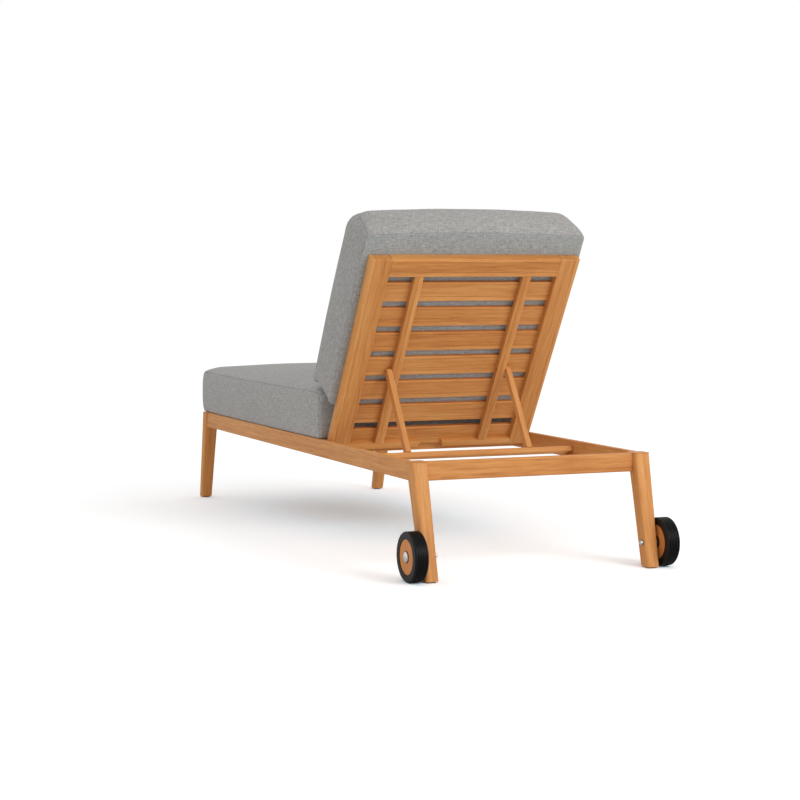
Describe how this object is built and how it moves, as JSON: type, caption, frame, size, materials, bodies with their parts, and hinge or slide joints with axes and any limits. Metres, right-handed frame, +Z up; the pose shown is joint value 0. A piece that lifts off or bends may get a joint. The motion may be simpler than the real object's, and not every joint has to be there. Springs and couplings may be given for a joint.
{
  "type": "chaise lounger",
  "caption": "Wooden chaise lounger with a slatted deck, a reclining backrest on a notched prop, loose seat and back cushions and rear wheels.",
  "frame": {"origin": "middle of the footprint, on the floor", "axes": "+Z up, +Y towards the head end with the wheels, -Y towards the foot end, +X to the sitter's left"},
  "size_m": [0.8004, 2.1106, 0.9949],
  "materials": {
    "teak": "oiled, satin",
    "fabric": "woven outdoor fabric",
    "tyre": "ribbed rubber",
    "steel": "brushed stainless",
    "glide": "matte black"
  },
  "bodies": {
    "base": {"axle_bolt_left": "steel", "axle_bolt_right": "steel", "axle_cap_nuts": "steel", "axle_washers": "steel", "front_rail": "teak", "hinge_pins": "steel", "leg_front_left": "teak", "leg_front_right": "teak", "leg_glides": "glide", "leg_rear_left": "teak", "leg_rear_right": "teak", "mid_rail": "teak", "prop_rack_left": "teak", "prop_rack_right": "teak", "rear_rail": "teak", "seat_batten_left": "teak", "seat_batten_right": "teak", "seat_cushion": "fabric", "seat_ledger_left": "teak", "seat_ledger_right": "teak", "seat_slat_01": "teak", "seat_slat_02": "teak", "seat_slat_03": "teak", "seat_slat_04": "teak", "seat_slat_05": "teak", "seat_slat_06": "teak", "seat_slat_07": "teak", "seat_slat_08": "teak", "seat_slat_09": "teak", "seat_slat_10": "teak", "seat_slat_11": "teak", "seat_slat_12": "teak", "seat_slat_13": "teak", "side_rail_left": "teak", "side_rail_right": "teak", "wheel_spacers": "steel"},
    "backrest": {"back_batten_left": "teak", "back_batten_right": "teak", "back_cushion": "fabric", "back_lower_rail_left": "teak", "back_lower_rail_right": "teak", "back_slat_1": "teak", "back_slat_2": "teak", "back_slat_3": "teak", "back_slat_4": "teak", "back_slat_5": "teak", "back_slat_6": "teak", "back_slat_7": "teak", "back_stile_left": "teak", "back_stile_right": "teak", "back_top_rail": "teak", "hinge_bushes": "steel", "prop_pins": "steel"},
    "prop": {"prop_arm_left": "teak", "prop_arm_right": "teak", "prop_crossbar": "teak"},
    "wheel_left": {"tyre_left": "tyre", "wheel_hub_left": "teak"},
    "wheel_right": {"tyre_right": "tyre", "wheel_hub_right": "teak"}
  },
  "joints": [
    {"name": "backrest_recline", "type": "hinge", "parent": "base", "child": "backrest", "pos_m": [0, 0.22448, 0.29797], "axis": [-1, 0, 0], "range_deg": [0, 57.5]},
    {"name": "prop_swing", "type": "hinge", "parent": "backrest", "child": "prop", "pos_m": [0, 0.37119, 0.5194], "axis": [-1, 0, 0], "range_deg": [-111, 0.5]},
    {"name": "wheel_left_spin", "type": "hinge", "parent": "base", "child": "wheel_left", "pos_m": [0.3774, 0.98776, 0.0685], "axis": [1, 0, 0], "continuous": true},
    {"name": "wheel_right_spin", "type": "hinge", "parent": "base", "child": "wheel_right", "pos_m": [-0.3774, 0.98776, 0.0685], "axis": [1, 0, 0], "continuous": true}
  ],
  "couplings": [
    {"joint": "prop_swing", "follows": "backrest_recline", "ratio": -1.91}
  ]
}
